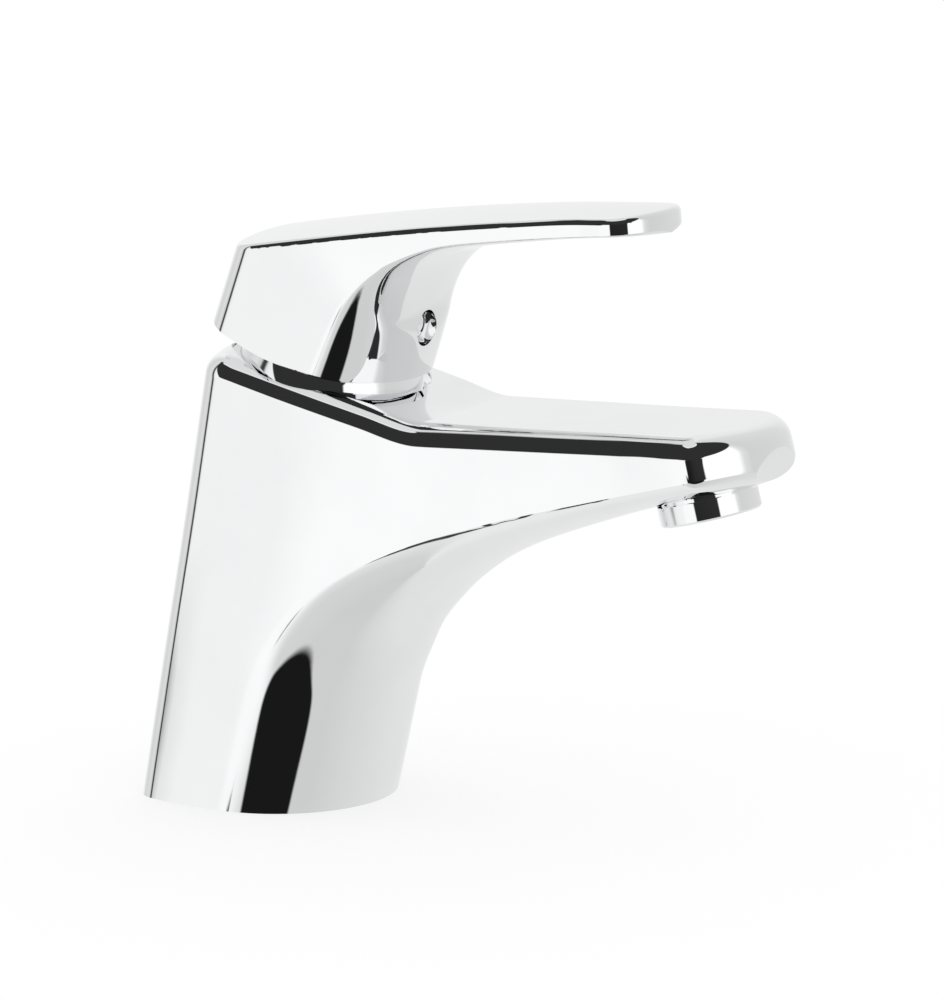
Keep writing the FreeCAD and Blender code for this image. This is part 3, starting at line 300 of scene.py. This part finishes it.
# Grain of the other materials
GRAIN_DETAIL = 3
GRAIN_COLOURS = (0.3, 0.7)
METAL_ROUGHENS = 0.15
METAL_DEPTH = 0.00003
MOULDED_ROUGHENS = 0.12


def surface(name):
    """An empty material, its node helper and its shader."""
    material = bpy.data.materials.new(name)
    material.use_nodes = True
    graph = Nodes(material.node_tree)
    shader = graph.add("ShaderNodeBsdfPrincipled")
    graph.link(shader.outputs[0], graph.add("ShaderNodeOutputMaterial").inputs["Surface"])
    return material, graph, shader


def noise(graph, cells, detail, stretch=None):
    """Noise in the object's own space, with so many cells to the metre."""
    place = graph.add("ShaderNodeTexCoord").outputs["Object"]
    if stretch is not None:
        mapping = graph.add("ShaderNodeMapping")
        graph.link(place, mapping.inputs["Vector"])
        mapping.inputs["Scale"].default_value = stretch
        place = mapping.outputs[0]
    node = graph.add("ShaderNodeTexNoise")
    graph.link(place, node.inputs["Vector"])
    node.inputs["Scale"].default_value = cells
    node.inputs["Detail"].default_value = detail
    return node.outputs["Fac"]


def bump(graph, shader, height, depth):
    """Lumps of so many metres, following a noise."""
    node = graph.add("ShaderNodeBump")
    node.inputs["Distance"].default_value = depth
    graph.link(height, node.inputs["Height"])
    graph.link(node.outputs[0], shader.inputs["Normal"])


def chrome():
    """Polished plating."""
    material, graph, shader = surface("polished_chrome")
    haze = noise(graph, HAZE_CELLS, HAZE_DETAIL)
    colour = graph.mix(graph.step(haze, *HAZE_COLOURS), CHROME_CLEAN, CHROME_HAZED)
    rough = graph.math("MULTIPLY_ADD", graph.step(haze, *HAZE_ROUGHENS), HAZE_ROUGHNESS, CHROME_ROUGHNESS)
    shader.inputs["Metallic"].default_value = 1.0
    graph.link(colour, shader.inputs["Base Color"])
    graph.link(rough, shader.inputs["Roughness"])
    bump(graph, shader, noise(graph, WAVE_CELLS, WAVE_DETAIL), WAVE_DEPTH)
    return material


def metal(name, light, dark, rough, grain, stretch):
    """Turned or drawn metal with streaks."""
    material, graph, shader = surface(name)
    streak = noise(graph, grain, GRAIN_DETAIL, stretch)
    shader.inputs["Metallic"].default_value = 1.0
    graph.link(graph.mix(graph.step(streak, *GRAIN_COLOURS), dark, light), shader.inputs["Base Color"])
    graph.link(graph.math("MULTIPLY_ADD", streak, METAL_ROUGHENS, rough), shader.inputs["Roughness"])
    bump(graph, shader, streak, METAL_DEPTH)
    return material


def moulded(name, light, dark, rough, grain, depth):
    """Plastic, rubber or ceramic with speckles."""
    material, graph, shader = surface(name)
    speckle = noise(graph, grain, GRAIN_DETAIL)
    graph.link(graph.mix(graph.step(speckle, *GRAIN_COLOURS), dark, light), shader.inputs["Base Color"])
    graph.link(graph.math("MULTIPLY_ADD", speckle, MOULDED_ROUGHENS, rough), shader.inputs["Roughness"])
    bump(graph, shader, speckle, depth)
    return material


# One finish for each of the record's material slots
FINISHES = {
    "chrome": chrome(),
    "brass": metal(
        "machined_brass", light=(0.80, 0.66, 0.36, 1), dark=(0.66, 0.52, 0.26, 1),
        rough=0.18, grain=900, stretch=(1, 1, 8)),
    "steel": metal(
        "satin_steel", light=(0.72, 0.73, 0.74, 1), dark=(0.55, 0.56, 0.57, 1),
        rough=0.22, grain=1200, stretch=(1, 1, 6)),
    "ceramic": moulded(
        "lapped_ceramic", light=(0.94, 0.93, 0.90, 1), dark=(0.88, 0.87, 0.84, 1),
        rough=0.12, grain=2500, depth=0.000004),
    "cartridge_plastic": moulded(
        "cartridge_plastic", light=(0.90, 0.90, 0.88, 1), dark=(0.82, 0.82, 0.80, 1),
        rough=0.42, grain=1500, depth=0.00002),
    "insert_plastic": moulded(
        "insert_plastic", light=(0.84, 0.86, 0.86, 1), dark=(0.74, 0.76, 0.77, 1),
        rough=0.36, grain=1500, depth=0.00002),
    "seal_rubber": moulded(
        "seal_rubber", light=(0.055, 0.055, 0.055, 1), dark=(0.025, 0.025, 0.025, 1),
        rough=0.6, grain=2200, depth=0.00003),
}


# Mirror polish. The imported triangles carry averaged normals, which break up a mirror image, so each chrome
# piece is shown as a copy whose corners take the normal of a sheet fitted through the points around them.
SAME_PLACE = 1e-7
NORMAL_GRID = 500
NEAREST = 24
NEAR_COUNTS_MORE = 4
MOSTLY_ALONG_X = 0.75
SAME_SHEET = 0.75
SAME_NORMAL = math.cos(math.radians(7))
SHEET_SLACK = 5e-6
FIT_ROUNDS = 10
STEADY = 1e-5
TINY = 1e-12


def smooth_points(mesh):
    """Each corner's point number, and the points and normals: one for each side of a sharp edge."""
    vertex = np.empty(len(mesh.loops), int)
    mesh.loops.foreach_get("vertex_index", vertex)
    normals = np.array([corner.vector[:] for corner in mesh.corner_normals])
    places = np.array([v.co[:] for v in mesh.vertices])[vertex]
    keys = np.column_stack([np.round(places / SAME_PLACE), np.round(normals * NORMAL_GRID)]).astype(int)
    _, first, number = np.unique(keys, axis=0, return_index=True, return_inverse=True)
    return number.ravel(), places[first], normals[first]


def points_around(corners, points):
    """The nearest points within two triangles of each point; the point itself fills any places left over."""
    linked = [set() for _ in points]
    for triangle in corners.reshape(-1, 3).tolist():
        for point in triangle:
            linked[point].update(triangle)
    around = np.repeat(np.arange(len(points))[:, None], NEAREST, 1)
    for i, first_ring in enumerate(linked):
        found = np.array(sorted(set().union(*(linked[j] for j in first_ring)) - {i}))
        far = ((points[found] - points[i]) ** 2).sum(1)
        found = found[np.argsort(far)[:NEAREST]]
        around[i, :len(found)] = found
    return around


def fitted_normals(points, normals, around):
    """Normals of shallow bowls laid through each point and those around it.

    Points that lie off the bowl, past a rim or an edge, are trusted less in each round.
    """
    helper = np.where(np.abs(normals[:, :1]) < MOSTLY_ALONG_X, [[1.0, 0, 0]], [[0, 1.0, 0]])
    across = np.cross(normals, helper)
    across /= np.linalg.norm(across, axis=1, keepdims=True)
    along = np.cross(normals, across)
    offset = points[around] - points[:, None]
    x, y, rise = (np.einsum("nki,ni->nk", offset, axis) for axis in (across, along, normals))
    far = np.linalg.norm(offset, axis=2)
    alike = np.einsum("nki,ni->nk", normals[around], normals)
    used = (far > SAME_PLACE) & (alike > SAME_SHEET)
    count = np.maximum(used.sum(1, keepdims=True), 1)
    span = (far * used).sum(1, keepdims=True) / count + SAME_PLACE
    x, y = x / span, y / span
    terms = np.stack([x, y, x * x, x * y, y * y], 2)
    weight = np.where(used, span / np.maximum(far, SAME_PLACE), 0) ** NEAR_COUNTS_MORE
    trust = np.ones_like(weight)
    for _ in range(FIT_ROUNDS):
        square = np.einsum("nki,nk,nkj->nij", terms, weight * trust, terms)
        steady = STEADY * np.trace(square, axis1=1, axis2=2) + TINY
        square += np.eye(terms.shape[2]) * steady[:, None, None]
        pull = np.einsum("nki,nk,nk->ni", terms, weight * trust, rise)
        bowl = np.linalg.solve(square, pull[..., None])[..., 0]
        miss = np.einsum("nki,ni->nk", terms, bowl) - rise
        trust = 1 / (1 + (miss / SHEET_SLACK) ** 2)
    fitted = normals - bowl[:, :1] / span * across - bowl[:, 1:2] / span * along
    fitted /= np.linalg.norm(fitted, axis=1, keepdims=True)
    astray = (fitted * normals).sum(1) < SAME_NORMAL
    fitted[astray] = normals[astray]
    return fitted


def polish(node, body):
    """A copy of a chrome piece, with better normals, that stands in for it on the same body."""
    mesh = node.data.copy()
    mesh.name = node.name + "_polished"
    corners, points, normals = smooth_points(mesh)
    normals = fitted_normals(points, normals, points_around(corners, points))
    mesh.normals_split_custom_set(normals[corners].tolist())
    piece = bpy.data.objects.new(mesh.name, mesh)
    bpy.context.scene.collection.objects.link(piece)
    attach(piece, body)
    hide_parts(node.name)


def dress():
    """Every piece gets its finish, and the chrome ones their polish."""
    bodies = frame["record"]["behaviour"]["bodies"]
    body_of = {name: body for body, names in bodies.items() for name in names}
    for part in frame["record"]["subparts"]:
        node = nodes[part["node"]]
        node.data.materials.clear()
        node.data.materials.append(FINISHES[part["material_slot"]])
        if part["material_slot"] == "chrome":
            polish(node, body_of[node.name])


make_camera()
make_surroundings()
make_floor()
dress()
bpy.context.scene.view_settings.view_transform = "Standard"
